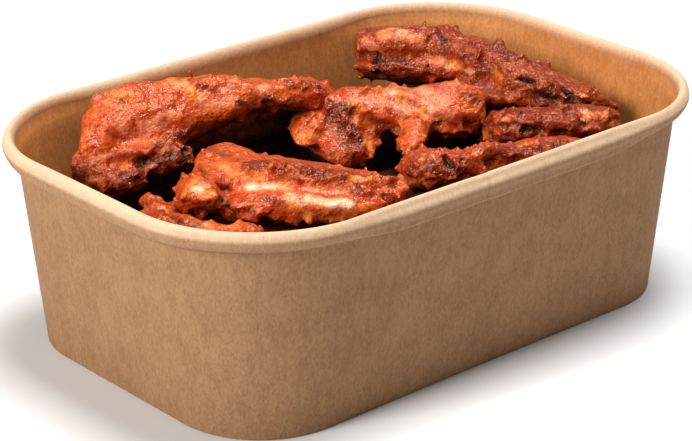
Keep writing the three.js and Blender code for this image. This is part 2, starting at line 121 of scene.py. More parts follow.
WINGS["wing_middle"] = dict(
    slot="glazed_skin", seed=23,
    lobes=[((5, 18.5, 48), (40, -8, 47), (11, 11), (13, 16), -43, 0.42),
        ((10, 21, 46), (4, 4, 37), (24, 17), (13, 7), 0, 0.5),
        ((5, 23, 46), (-6.5, 12, 42), (11, 9), (5, 4), 0, 0.55),
        ((21.5, 0, 45), (10, -8.5, 41), (9, 5), (7, 2.5), 0, 0.5),
        ((14.5, 17.5, 40), (40, -3, 40), (14, 12), (10, 10), -23, 0.45),
        ((20, 22, 41), (48, 0, 41), (16, 14), (16, 14), 0, 0.5)],
    fat=[(-5, 13, 44, -3.5, 12.5, 44.5, 2), (3, 14.5, 47.5, 3.5, 11.5, 45.5, 1),
        (9, 4.5, 42, 9.5, 4, 40.5, 1.5), (19.5, 5.5, 52.5, 23.5, -3, 48.5, 1.5)],
    pale=[(23, 7, 53.5, 28, -3.5, 51, 2), (24.5, -0.5, 51.5, 27.5, -6, 48.5, 1.5),
        (24, -0.5, 51, 26, -5, 48.5, 1.5), (17.5, 9.5, 53.5, 18.5, 6.5, 53, 1.5),
        (16, 2, 46, 24.5, -4, 43, 0.5), (13, 8, 51.5, 19.5, 0, 49, 1.5), (-1, 14.5, 46, -1.5, 13, 44.5, 1),
        (8.5, 12, 51.5, 12.5, 9.5, 52.5, 1)],
    deep=[(4, 12.5, 46.5, 3, 5, 40, 2.5), (11.5, 6, 47, 17, 2.5, 43.5, 1.5),
        (14, -2, 44.5, 28.5, -6, 42, 1.5), (20, 6, 38, 10.5, -8.5, 41.5, 2),
        (2.5, 6.5, 41.5, 4, 4, 38.5, 2), (-7.5, 14, 43, -7, 13.5, 41.5, 1.5),
        (27, -6.5, 46.5, 34, -9.5, 46.5, 2), (2.5, 8.5, 43, 3.5, 5.5, 41, 1.5)],
    crust=[(5, 16, 50.5, 8, 10, 49.5, 2), (4, 13.5, 48.5, 7, 5, 41.5, 3.5),
        (11.5, 6.5, 43, 33, -8.5, 42.5, 2), (34, -5, 52, 36, -8, 50, 2), (31.5, -9, 45, 43, -0.5, 37, 2.5),
        (14, 6, 50, 25, -5.5, 45.5, 1.5), (-0.5, 16.5, 47, 0, 13.5, 45, 1.5)],
    dark=[(13, 6, 43.5, 19, 6.5, 40.5, 1), (6.5, 13, 50.5, 7.5, 10.5, 49.5, 1),
        (7, 10, 47, 7.5, 5.5, 42.5, 1), (33, -8.5, 43.5, 37.5, -4.5, 38.5, 1),
        (-2, 16, 39, -1, 8.5, 40.5, 1)],
    knobs=[(11.5, -7.5, 42.5, 1), (-4, 12.5, 44, 1.5), (-7, 13, 42.5, 1), (34.5, -9.5, 47.5, 1),
        (33, -8.5, 42.5, 1.5), (43, -0.5, 37, 1), (6, 14.5, 51, 1), (3, 4.5, 39.5, 1), (12.5, -3, 43, 1),
        (17, 9.5, 53.5, 1.5), (21, 8.5, 53.5, 1.5), (13.5, 11, 53.5, 1)],
    dents=[(11.5, 6, 46.5, 16.5, 2, 44.5, 1, 0.7), (13, 6.5, 43, 19, 6, 40, 1, 2),
        (20.5, 5, 52.5, 25, -4, 48.5, 1, -0.7), (20, 3, 51.5, 25, -5.5, 47, 1, 0.8),
        (31.5, -9, 45, 42.5, -0.5, 37, 1, 1.5), (7.5, 10, 49, 10, 7, 47, 1, 1),
        (3.5, 16, 48.5, 7.5, 9.5, 48, 1, 0.8)])
WINGS["wing_back_right"] = dict(
    slot="crumbly_crust", seed=37,
    lobes=[((38.5, 44, 51.5), (60.5, 24.5, 51.5), (28, 28), (11.5, 13.5), -23, 0.4),
        ((39, 42, 45.5), (58, 14, 45.5), (28, 28), (7.5, 9.5), -24, 0.45),
        ((54.5, 34, 49.5), (66.5, -5, 46.5), (31, 31), (14.5, 14), -28, 0.45),
        ((58.5, 6.5, 46.5), (71.5, -23, 44), (31, 25), (14, 7.5), -27, 0.5),
        ((51, 13.5, 43), (67, -15.5, 42), (25, 25), (9.5, 8.5), -25, 0.45),
        ((50.5, 37.5, 36.5), (68, 8, 34.5), (31, 31), (13, 12), -25, 0.5)],
    fat=[(46.5, 13.5, 52.5, 47.5, 9, 51.5, 2), (49.5, 3.5, 43, 49.5, -6.5, 46, 2),
        (51, 1, 52.5, 50, -2, 51.5, 1.5), (59.5, -21.5, 49.5, 61.5, -23, 49, 1.5),
        (38, 32.5, 59, 42.5, 30.5, 59.5, 1.5)],
    pale=[(34, 34.5, 56, 35.5, 30.5, 54, 2), (41, 27.5, 59, 43.5, 22.5, 57, 2.5),
        (45.5, 19, 52, 46, 14.5, 51.5, 1.5), (48, 8.5, 51, 48.5, 5.5, 51, 1),
        (36.5, 31, 58, 39, 28.5, 58.5, 1.5), (35, 38.5, 55.5, 33.5, 36.5, 54, 1)],
    deep=[(47.5, 18.5, 56.5, 47, 14, 55.5, 2), (56.5, 8.5, 57.5, 54.5, 0, 56.5, 2.5),
        (50.5, 11, 58, 51.5, 7.5, 57.5, 1.5), (34, 27, 51, 41, 18, 49.5, 2),
        (53, -12.5, 50, 56.5, -18, 49, 3.5), (49.5, 3.5, 43, 49.5, -6.5, 45.5, 2)],
    crust=[(48, 8.5, 52.5, 62, -24, 48, 5.5), (54, 1.5, 57, 62, -5.5, 53, 3.5),
        (49, 26.5, 59, 49, 17.5, 57.5, 2.5), (34.5, 27, 50, 42, 16.5, 49.5, 2),
        (48, 19.5, 57, 48.5, 7.5, 54.5, 2)],
    dark=[(35, 31.5, 52, 42, 19, 52.5, 1), (33.5, 29.5, 49.5, 34, 28.5, 48, 1.5),
        (51.5, -8.5, 52.5, 52.5, -11, 52.5, 1.5), (58.5, -18.5, 51, 59, -21, 48.5, 1.5),
        (50, 21.5, 58, 49.5, 19, 58, 1), (53, -12.5, 50, 56, -17, 48.5, 1.5)],
    knobs=[(51.5, 10, 58, 2), (57.5, 6, 57, 2.5), (56.5, 2.5, 56.5, 1.5), (53, 8, 58, 1), (36, 39, 57, 1),
        (34, 36.5, 53, 1.5), (50, 23, 59, 1.5), (57.5, -2.5, 55.5, 2), (50.5, 14, 58, 1),
        (57, -14.5, 53, 1.5), (61.5, -23.5, 49, 1), (44, 31.5, 59.5, 1), (46.5, 15, 53.5, 1),
        (48.5, 6, 51, 1), (52, -2, 54, 1), (57, -6.5, 54.5, 1.5), (60, -21.5, 49.5, 1),
        (53.5, -13.5, 51, 1.5)],
    dents=[(34.5, 31, 52, 42.5, 18.5, 52.5, 1, 2.2), (33.5, 29, 50, 35, 29.5, 47, 1, 2),
        (51.5, -8.5, 52.5, 52.5, -11, 52.5, 1, 1.5), (58.5, -18.5, 51, 59, -21, 48.5, 1.5, 2.5),
        (50.5, 21, 58, 49, 18, 58, 1, 1), (47.5, 2, 49, 49, -3.5, 48.5, 1.5, 1.5),
        (49.5, 5, 54.5, 50, 3, 52, 1, 1)])
WINGS["wing_front"] = dict(
    slot="pale_meat", seed=41,
    lobes=[((-45.5, 7, 44.5), (-10, -31, 43), (31, 25), (19, 12), -23, 0.45),
        ((-55.5, 3.5, 45), (-46, -5, 44.5), (25, 28), (10, 13), -23, 0.45),
        ((-33.5, 12.5, 49), (-43.5, -8, 46), (17, 21), (6, 12.5), 0, 0.5),
        ((-40.5, -2.5, 50), (-10, -29.5, 46), (11, 10), (6, 4.5), -23, 0.45),
        ((-49.5, -5, 42.5), (-9.5, -28, 38.5), (31, 31), (12, 11.5), -22, 0.45),
        ((-47, 4, 35), (-7.5, -25.5, 33.5), (34, 31), (13, 13), -23, 0.45)],
    fat=[(-45, -2, 52.5, -45.5, -7.5, 51.5, 2), (-59, -7.5, 51, -56.5, -10.5, 51, 2.5),
        (-41.5, -23, 49, -40.5, -26, 45, 2), (-25.5, -27.5, 50.5, -12.5, -30, 48, 1.5),
        (-45, -12, 49, -39, -18.5, 49.5, 2), (-39, -27, 44.5, -29.5, -32.5, 44, 1.5),
        (-28.5, -33, 46, -26, -34, 45.5, 1), (-45, -9.5, 51, -42, -13.5, 51, 2),
        (-44.5, -12.5, 49, -41, -17, 49.5, 2), (-37.5, -26, 48, -29.5, -31.5, 46.5, 2)],
    pale=[(-44.5, -12.5, 49, -41, -16.5, 49.5, 1.5), (-37, -26, 48, -30, -31, 46.5, 1.5),
        (-35.5, -28.5, 47, -29.5, -32, 46, 1), (-58.5, -8.5, 51, -57.5, -9.5, 51, 1),
        (-39.5, -21.5, 49, -39, -25.5, 48, 1.5), (-35.5, -22.5, 49, -28, -28.5, 48.5, 1)],
    deep=[(-39, 11, 51.5, -39.5, 3, 51.5, 2), (-60.5, -5.5, 48.5, -60, -7.5, 49, 1.5),
        (-41, -12.5, 52.5, -39.5, -15, 52, 1.5), (-24.5, -30, 48.5, -15.5, -33, 48, 1),
        (-23, -32, 47.5, -18, -34, 46, 1.5), (-33.5, -20.5, 52.5, -31.5, -23, 51.5, 1.5),
        (-45.5, -20, 48.5, -43, -23, 47.5, 1.5)],
    crust=[(-41, -9.5, 53, -26, -25.5, 51, 3.5), (-26, -24.5, 51.5, -15, -31, 48.5, 1.5),
        (-57.5, -10.5, 47.5, -51.5, -15.5, 45.5, 2.5), (-50, -19, 46, -42, -21, 40.5, 2.5),
        (-26, -30, 48, -17, -34.5, 45, 2), (-60, -4.5, 46, -56.5, -7, 43.5, 2),
        (-11, -29.5, 47, -13.5, -33, 46, 1.5), (-40, -25.5, 42.5, -33.5, -29.5, 42, 1.5)],
    dark=[(-47, 5.5, 48, -53, -7, 52.5, 1), (-51.5, -9.5, 51, -48.5, -8, 48, 0.5),
        (-52, -10.5, 46, -52, -15, 45.5, 1.5), (-48.5, -19.5, 43.5, -44, -19, 40.5, 1.5),
        (-38, -17.5, 51.5, -36, -19.5, 51, 1), (-54.5, -12, 49, -52, -11, 47, 1)],
    knobs=[(-36, 3, 51.5, 1), (-40, -7, 53, 1), (-40.5, -14, 52.5, 1), (-32.5, -20.5, 52.5, 1.5),
        (-26, -20.5, 52, 1), (-35.5, -17, 53, 1.5), (-47.5, 2, 51, 1), (-60.5, -7, 49, 1.5),
        (-51.5, -14, 47, 1), (-47.5, -20.5, 45.5, 1), (-20.5, -33, 47.5, 1), (-28.5, -32.5, 46, 1),
        (-25, -25, 51.5, 1), (-56.5, -11, 46, 1), (-41.5, -24, 42.5, 1)],
    dents=[(-47, 6, 48, -53, -7, 52.5, 1, 1), (-51, -9, 51, -48, -8.5, 48, 0.5, 1.2),
        (-52, -10.5, 46, -51.5, -15.5, 45.5, 1, 1.5), (-48, -19.5, 43.5, -44, -19, 40.5, 1, 1.5),
        (-36.5, -20, 51, -35, -20, 51.5, 1, 1), (-24.5, -30, 49, -15.5, -33, 48, 1, 1),
        (-39.5, -25, 48, -39.5, -26.5, 44.5, 1, 0.6), (-38.5, -26.5, 47, -30.5, -32, 45.5, 1.5, -0.6),
        (-49.5, -14.5, 48.5, -46.5, -19.5, 48, 1.5, 0.8)])
WINGS["wing_right_crumbly"] = dict(
    slot="crumbly_crust", seed=53,
    lobes=[((35.5, -11, 42.5), (66, -29.5, 42.5), (31, 31), (12, 11.5), -23, 0.42),
        ((38.5, -12, 44), (42.5, -19.5, 45), (20, 20), (7, 8), -22, 0.5),
        ((39.5, -9, 35.5), (67.5, -26.5, 35.5), (31, 28), (11.5, 11), -23, 0.45)],
    fat=[(36, -10.5, 41, 32, -20, 46.5, 1.5), (51, -33, 50, 55, -35.5, 49, 2),
        (33.5, -19, 49.5, 34, -21.5, 49, 1.5)],
    pale=[(48.5, -34.5, 47, 51, -36, 47.5, 1), (33, -21.5, 44.5, 34, -23, 44, 1)],
    deep=[(33.5, -23.5, 47, 35.5, -25.5, 46, 1.5), (41, -30, 47.5, 45.5, -32.5, 46, 2)],
    crust=[(32.5, -20, 48.5, 58.5, -36.5, 47.5, 3.5), (35, -25, 45, 46.5, -32, 44, 2)],
    dark=[(36, -26.5, 47.5, 38.5, -28, 46.5, 1.5), (42.5, -30.5, 45.5, 44.5, -32, 45, 1),
        (48, -33.5, 49, 49, -35, 48, 1)],
    knobs=[(34, -19.5, 49.5, 2), (34.5, -24.5, 46.5, 1), (56.5, -36.5, 48.5, 1), (46.5, -28.5, 50.5, 1.5),
        (40, -26, 50.5, 1.5), (52.5, -31.5, 50.5, 1), (33, -17, 44.5, 1), (46.5, -33.5, 46.5, 1),
        (40.5, -29.5, 45, 1)],
    dents=[(36, -26.5, 47.5, 38.5, -28, 46.5, 1.5, 2.8), (42.5, -30.5, 45.5, 44.5, -32, 45, 1, 1.5),
        (48.5, -33.5, 49.5, 49, -35, 48, 1, 1.2), (33, -22.5, 47.5, 34.5, -23.5, 48.5, 1, 1.2)])
WINGS["wing_front_right"] = dict(
    slot="glazed_skin", seed=67,
    lobes=[((0, -17.5, 42), (15, -28.5, 43), (25, 24), (13, 11.5), -23, 0.5),
        ((9.5, -24, 41.5), (48, -36.5, 42), (28, 25), (13, 9), -25, 0.45),
        ((8, -31, 47), (22, -34.5, 47), (11, 10), (8, 7), -26, 0.5)],
    fat=[(8, -33, 48, 9.5, -34.5, 50.5, 1.5), (-3, -24, 42, -2, -28.5, 44, 1.5),
        (-1, -27, 49, -0.5, -29, 48, 1)],
    pale=[(1, -25, 49.5, 0.5, -28, 49.5, 1), (5, -27.5, 49.5, 8.5, -29, 49, 1),
        (15.5, -37.5, 48, 18.5, -38, 48, 1), (-3, -26.5, 45, -2, -28.5, 46.5, 1)],
    deep=[(7, -34.5, 46, 14.5, -36.5, 50, 3), (-3.5, -25, 45.5, -2, -29, 46.5, 2),
        (27, -40, 49, 32.5, -41.5, 48.5, 1.5)],
    crust=[(-3, -25, 47.5, 4, -34, 47.5, 4.5), (16, -37.5, 49, 36.5, -42, 48, 2.5),
        (-1.5, -30, 45.5, 4, -34, 46.5, 2)],
    dark=[(3, -31, 49.5, 3, -33, 48, 1), (11.5, -37, 47.5, 15, -37.5, 47.5, 1),
        (5.5, -19, 48, 2.5, -23.5, 49.5, 0.5)],
    knobs=[(0.5, -28, 49.5, 1), (5.5, -29, 49.5, 1), (4, -33, 48, 1), (17, -37.5, 49, 1),
        (-3.5, -25.5, 46, 1), (-0.5, -31, 46.5, 1), (24, -39, 49, 1), (30.5, -41, 48.5, 1),
        (13, -35.5, 51, 1)],
    dents=[(3, -31, 49.5, 3, -33, 48, 1, 2.5), (15, -25, 46.5, 4.5, -34, 46, 1, 1.5),
        (11.5, -37, 47.5, 15, -37.5, 47.5, 1, 1.5)])
WINGS["wing_front_left"] = dict(
    slot="glazed_skin", seed=71,
    lobes=[((-68.5, 2.5, 42), (-52.5, -27, 42), (14, 14), (7.5, 7), -24, 0.45),
        ((-58.5, 9.5, 42.5), (-60, -6, 41), (8, 11), (3.5, 6), -41, 0.5)],
    fat=[(-63, 3.5, 43.5, -65, -6.5, 46, 1.5), (-61.5, -18, 46, -57.5, -23, 46, 1.5)],
    pale=[(-61, 7.5, 44.5, -62, 4, 45, 1), (-64, -16, 45.5, -63, -17.5, 45.5, 1)],
    deep=[(-66.5, -11.5, 46, -63, -16.5, 46, 1.5), (-67.5, 1.5, 44, -66, 0.5, 44.5, 1)],
    crust=[(-62, 7, 43.5, -66.5, -7.5, 46.5, 2), (-57, -23, 46, -55, -27, 45, 1.5)],
    dark=[(-64.5, -6.5, 46, -65, -9.5, 46.5, 1)],
    knobs=[(-61.5, 5.5, 45, 1), (-63, -0.5, 45, 1), (-57, -23, 46, 1), (-66, -12.5, 46.5, 1),
        (-61.5, -16.5, 46, 1)],
    dents=[(-64.5, -6.5, 46, -65, -9.5, 46.5, 1, 1)])

KINDS = ("fat", "pale", "deep", "crust", "dark")

# How crumbly each wing is where no mark says so, from 0 for smooth skin to 1.
CRUMB = dict(
    wing_left_skin_on=0.25, wing_middle=0.25, wing_back_right=0.7, wing_front=0.3, wing_right_crumbly=0.85,
    wing_front_right=0.45, wing_front_left=0.35)
LEAST_CRUMB = 0.08
CRUMB_COUNT, CRUMB_JITTER = 260, 0.3
PEBBLES = ((1.15, 4.2), (0.7, 2.1), (0.25, 1.2))  # clumps, crumbs and grains: the height and size of each
LUMP_SIZE, LUMP_HEIGHT = 9, 1.1  # the meat's own unevenness
SUNK = 0.55  # the skin is taken in by this before its relief is raised
CRUST_EDGE, MARK_EDGE = 0.25, 0.4  # how ragged the marks' edges are
FUSED_ROUNDS, HEAP_ROUNDS, SKIN_ROUNDS, SKIN_SHARE = 5, 3, 3, 0.5  # how the skins are evened
CLEARANCE = 0.3  # from the food to the tray
VOXEL, HEAP_VOXEL = ((0.42, 0.85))

# The thin curled tip of skin on the left wing's ridge: its ends and its bend, its radius at the root, what
# that loses on the way, and its balls.
CURL_FROM, CURL_TO, CURL_BEND = np.array(((-27.5, 29.5, 60), (-28.5, 32.2, 63.4), (0.6, 0.2, 0)))
CURL_RADIUS, CURL_TAPER, CURL_BALLS = 1.3, 0.85, 9

# The wings underneath: four across the floor, three rows of two along it on top, one more row at the near
# wall and one wing at the far wall. A size is the width and the height at both ends. The ends are shifted by
# up to HEAP_JITTER sideways and HEAP_RISE upwards.
HEAP_SEED, HEAP_JITTER, HEAP_RISE = 83, 5, 2
HEAP_SIZE, NEAR_SIZE, FAR_SIZE = ((40, 34), (19, 17)), ((24, 22), (17, 15)), ((14, 14), (20, 20))
ACROSS = dict(xs=(-54, -18, 18, 54), reach=44, z=13)
ALONG = dict(ys=(-30, 0, 30), overlap=12, reach=68, z=24)
NEAR_ROW = dict(y=-39, overlap=6, reach=60, z=34)
FAR_WING = ((-60, 36, 32), (17, 35, 31))
HEAP_BLUNTNESS, HEAP_CRUMB, HEAP_ROUGHNESS = 0.62, 0.6, 1.2

# Painted shade in the gaps between the wings and under them: a point is painted dark by its depth below the
# food around it, from none to full, and by how far the skin faces down.
OPEN_HEIGHT, PIT_WIDTH = 45, 6
PIT, HEAP_PIT = (5, 12), (-3, 3)
FACING_DOWN, DOWN_SHARE = (-0.3, -0.8), 0.8


# ---------------- noise

def grid_value(cells, seed):
    """A random value from -1 to 1 for each cell: its coordinates times large odd numbers, mixed by xor."""
    with np.errstate(over="ignore"):
        x, y, z = (cells[..., k].astype(np.int64).astype(np.uint32) for k in range(3))
        h = x * np.uint32(0x8DA6B343) ^ y * np.uint32(0xD8163841) ^ z * np.uint32(0xCB1AB31F)
        h = h ^ np.uint32(seed) * np.uint32(0x165667B1)
        h = (h ^ (h >> np.uint32(13))) * np.uint32(0x85EBCA6B)
        h = h ^ (h >> np.uint32(16))
    return h.astype(float) / 2**31 - 1


def cells_around(low, high):
    """The steps from a cell to those around it, from low to high along each axis."""
    span = range(low, high + 1)
    return [np.array((x, y, z)) for x in span for y in span for z in span]


def smooth_noise(points, size, seed):
    """Noise from -1 to 1: the grid's values, blended inside each cell of that size by smoothstep."""
    scaled = points / size
    low = np.floor(scaled)
    part = scaled - low
    part = part * part * (3 - 2 * part)
    total = 0
    for corner in cells_around(0, 1):
        share = np.where(corner, part, 1 - part).prod(-1)
        total = total + share * grid_value(low + corner, seed)
    return total


def pebbles(points, size, seed):
    """Round domes packed side by side, each round the jittered middle of a cell.

    The height is the root of 1 less 1.5 times the squared distance to the nearest middle, in cells.
    """
    scaled = points / size
    low = np.floor(scaled)
    nearest = np.full(points.shape[:-1], 9.0)
    for corner in cells_around(-1, 1):
        cell = low + corner
        jitter = np.stack([grid_value(cell, seed + k) for k in (1, 2, 3)], -1) * 0.42 + 0.5
        nearest = np.minimum(nearest, ((cell + jitter - scaled) ** 2).sum(-1))
    return np.sqrt(np.clip(1 - 1.5 * nearest, 0, 1))


def warped(points, reach, size, seed):
    """Points moved by up to the reach along each axis, by three smooth noises."""
    return points + reach * np.stack([smooth_noise(points, size, seed + k) for k in range(3)], -1)


def eased(low, high, value):
    """0 below low, 1 above high and smoothstep between; low may be the larger."""
    t = np.clip((value - low) / (high - low), 0, 1)
    return t * t * (3 - 2 * t)


# ---------------- meshes

def unit(vectors):
    return vectors / np.maximum(np.linalg.norm(vectors, axis=-1, keepdims=True), 1e-12)


def skin_over_rings(rings, ends=None):
    """Triangles over rings of equal count, each counter-clockwise as the next one sees it.

    The last ring meets the first when there are no ends; otherwise a fan closes each to its end point.
    """
    rows, around = rings.shape[:2]
    row, i = np.meshgrid(np.arange(rows - 1 if ends is not None else rows), np.arange(around), indexing="ij")
    after, j = (row + 1) % rows, (i + 1) % around
    grid = (row * around + i, row * around + j, after * around + i, after * around + j)
    a, b, c, d = (corner.ravel() for corner in grid)
    faces = [np.stack((a, b, d), 1), np.stack((a, d, c), 1)]
    points = rings.reshape(-1, 3)
    if ends is not None:
        k, last, n = np.arange(around), (rows - 1) * around, len(points)
        nxt = (k + 1) % around
        faces += [np.stack((nxt, k, k * 0 + n), 1), np.stack((last + k, last + nxt, k * 0 + n + 1), 1)]
        points = np.concatenate((points, ends))
    return points, np.concatenate(faces)


def joined(parts):
    """Several (points, faces) as one."""
    starts = np.cumsum([0] + [len(points) for points, _ in parts[:-1]])
    return (np.concatenate([points for points, _ in parts]),
            np.concatenate([faces + start for (_, faces), start in zip(parts, starts)]))


def mesh_of(name, points, faces):
    mesh = bpy.data.meshes.new(name)
    mesh.from_pydata((points * MM).tolist(), [], faces.tolist())
    mesh.update()
    return mesh


def points_of(mesh):
    flat = np.empty(len(mesh.vertices) * 3)
    mesh.vertices.foreach_get("co", flat)
    return flat.reshape(-1, 3) / MM


def shown(name, mesh, node, look, attributes):
    """Puts a mesh in the scene for its CAD node, with its material and its point attributes."""
    for key, values in attributes.items():
        mesh.attributes.new(key, "FLOAT", "POINT").data.foreach_set("value", values.astype(np.float32))
    mesh.materials.clear()
    mesh.materials.append(look)
    mesh.shade_smooth()
    piece = bpy.data.objects.new(name, mesh)
    bpy.context.scene.collection.objects.link(piece)
    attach(piece, "root")
    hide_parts(node)


# ---------------- the tray

def outline(length, width, corner, bow):
    """A rounded rectangle with bowed long sides, counter-clockwise: points and outward normals.

    A corner is an arc of a quarter turn. A side is a straight line, moved out by bow times
    1 - (2x / length) squared.
    """
    points, angles = [], []
    corners = np.array([(1, 1), (-1, 1), (-1, -1), (1, -1)])
    middle = np.array((length / 2 - corner, width / 2 - corner))
    for k, sign in enumerate(corners):
        turn = (k + np.arange(CORNER_STEPS + 1) / CORNER_STEPS) * (math.pi / 2)
        points.append(sign * middle + corner * np.stack((np.cos(turn), np.sin(turn)), 1))
        angles.append(turn)
        steps = LONG_STEPS if k % 2 == 0 else SHORT_STEPS
        t = (np.arange(1, steps) / steps)[:, None]
        reach = corner * np.array((math.cos(turn[-1]), math.sin(turn[-1])))
        points.append((sign * (1 - t) + corners[(k + 1) % 4] * t) * middle + reach)
        angles.append(np.full(steps - 1, turn[-1]))
    xy, angle = np.concatenate(points), np.concatenate(angles)
    normal = np.stack((np.cos(angle), np.sin(angle)), 1)
    along = np.maximum(0, 1 - (2 * xy[:, 0] / length) ** 2)
    xy[:, 1] += np.sign(xy[:, 1]) * normal[:, 1] ** 2 * bow * along
    return xy, normal


FOOT_LINE = outline(**FOOT)[0]
RIM_LINE, RIM_NORMAL = outline(**RIM)
ON_LONG, ON_SHORT = (eased(*SWELL[side], np.abs(RIM_LINE[:, k])) for k, side in enumerate(("long", "short")))
ROLL_WIDTH = ROLL["width"] + ROLL["width_gain"] * np.maximum(ON_LONG, ON_SHORT)
ROLL_HEIGHT = ROLL["height"] + ROLL["long_gain"] * ON_LONG + ROLL["short_gain"] * ON_SHORT


def ring_at(z, out):
    """The ring at height z, so far outside the wall's outer face.

    That face slopes straight from the foot to the flare, turns there towards the roll's inner side, and is
    upright above the middle of the roll.
    """
    flare = RIM_HEIGHT - FLARE_DROP
    z, out = z + np.zeros(len(RIM_LINE)), out + np.zeros(len(RIM_LINE))
    rise = np.minimum(z / flare, 1)[:, None]
    turn_in = np.clip((z - flare) / (FLARE_DROP - ROLL_HEIGHT / 2), 0, 1)
    inset = (FLARE_INSET + (ROLL_WIDTH - SHEET - FLARE_INSET) * turn_in)[:, None]
    xy = FOOT_LINE + (RIM_LINE - RIM_NORMAL * inset - FOOT_LINE) * rise + RIM_NORMAL * out[:, None]
    return np.column_stack((xy, z))


def roll_ring(angle, inset):
    """A ring of the rolled rim: its section is an ellipse, entered at the wall's side, 180 degrees.

    The section's radius is less by the inset, wavers a little, is pressed in at the crumples and, on the long
    sides, has the flattening, the groove and the lip of LIP. A crumple and each of those is a bell curve.
    """
    turn = math.radians(angle)
    places = np.column_stack((RIM_LINE, RIM_LINE[:, 0] * 0))
    wave = WAVE_HEIGHT * smooth_noise(places, WAVE_LENGTH, WAVE_SEED) * math.cos(turn / 2)
    near = (RIM_NORMAL[:, 1] < -0.9) * max(0, math.sin(turn * 0.5 + 0.9)) * (angle < 120)
    creases = sum(np.exp(-(((RIM_LINE[:, 0] - x) / CRUMPLE_WIDTH) ** 2)) for x in CRUMPLES)
    crumple = CRUMPLE_DEPTH * near * creases
    lip = ON_LONG * sum(height * math.exp(-(((angle - at) / spread) ** 2)) for at, spread, height in LIP)
    inset = inset + crumple + wave - lip
    z = RIM_HEIGHT - ROLL_HEIGHT / 2 + (ROLL_HEIGHT / 2 - inset) * math.sin(turn)
    out = ROLL_WIDTH / 2 - SHEET + (ROLL_WIDTH / 2 - inset) * math.cos(turn)
    return ring_at(z, out)


def roll_tones(angle):
    """How far the roll at an angle has the inside's tone, and how far the rim's pale tone."""
    # The rim's pale tone is painted light: full on the roll's top, faint on its front.
    pale = (FRONT_PALE + (1 - FRONT_PALE) * eased(*PALE_FROM, angle)) * eased(*PALE_TO, angle)
    return float(eased(*INSIDE_TONE_FROM, angle)), float(pale)


def tray_wall():
    """One sheet swept round the tray, closed on itself: both faces of the wall and the roll, and the hem.

    Each row is a ring, how far it has the inside's tone and how far the rim's pale tone of painted light.
    """
    angles = np.linspace(180, ROLL_END, ROLL_STEPS)
    flare = RIM_HEIGHT - FLARE_DROP
    hem = -(SHEET + HEM_SLOT)
    outer = (0, SHEET / 2, *WALL_HEIGHTS, *(flare + step for step in OUTER_STEPS))
    inner = (*(flare + step for step in INNER_STEPS), *WALL_HEIGHTS[:0:-1], SHEET)
    folded = ((SHEET, hem), (HEM_HEIGHT, hem), (HEM_HEIGHT, hem - SHEET), (0, hem - SHEET))
    rows = [(ring_at(z, 0), 0, 0) for z in outer]
    rows += [(roll_ring(a, SHEET), 0, HOLLOW_PALE) for a in angles]
    rows += [(roll_ring(a, 0), *roll_tones(a)) for a in angles[::-1]]
    rows += [(ring_at(z, -SHEET), 1, 0) for z in inner]
    rows += [(ring_at(z, out), 1, 0) for z, out in folded]
    rings = np.array([row[0] for row in rows])
    inside, rim = (np.repeat([row[k] for row in rows], rings.shape[1]).astype(float) for k in (1, 2))
    return skin_over_rings(rings), dict(inside=inside, rim=rim)


def tray_base():
    """The floor with its turned-down skirt: both flat faces are rings shrinking to the middle."""
    outer, top = -(SHEET + BASE_GAP), BASE_UNDERSIDE + BASE_THICKNESS
    inner, bottom = outer - SHEET, -outer
    profile = ((BASE_UNDERSIDE, inner), (bottom, inner), (bottom, outer), (top, outer))
    rings = [ring_at(z, out) for z, out in profile]
    shrink = np.linspace(0.04, 0.96, 9)
    first = [rings[0] * (1 - t) + np.array((0, 0, BASE_UNDERSIDE)) * t for t in shrink[::-1]]
    last = [rings[-1] * (1 - t) + np.array((0, 0, top)) * t for t in shrink]
    ends = np.array(((0, 0, BASE_UNDERSIDE), (0, 0, top)))
    return skin_over_rings(np.array(first + rings + last), ends)


def kept_in_the_tray(points, clearance):
    """Points moved inwards, square to the wall, so that none is nearer to its inner face than the clearance.

    The distance is that to a rounded rectangle whose sizes run straight from the foot to the flare. Points
    too near to the floor are raised.
    """
    flare = RIM_HEIGHT - FLARE_DROP
    rise = np.clip(points[:, 2] / flare, 0, 1)
    size = {k: FOOT[k] + (RIM[k] - FOOT[k]) * rise for k in RIM}
    shrink = FLARE_INSET * rise + SHEET + clearance
    half = np.stack((size["length"] / 2 - shrink, size["width"] / 2 - shrink), 1)
    half[:, 1] += size["bow"] * np.maximum(0, 1 - (points[:, 0] / half[:, 0]) ** 2)
    corner = size["corner"] - shrink
    past = np.abs(points[:, :2]) - (half - corner[:, None])
    away = np.maximum(past, 0)
    reach = np.linalg.norm(away, axis=1)
    outside = np.maximum(reach - corner, 0)
    moved = points.copy()
    moved[:, :2] -= np.sign(points[:, :2]) * away / np.maximum(reach, 1e-9)[:, None] * outside[:, None]
    moved[:, 2] = np.maximum(moved[:, 2], BASE_UNDERSIDE + BASE_THICKNESS + clearance)
    return moved


# ---------------- meat and skin

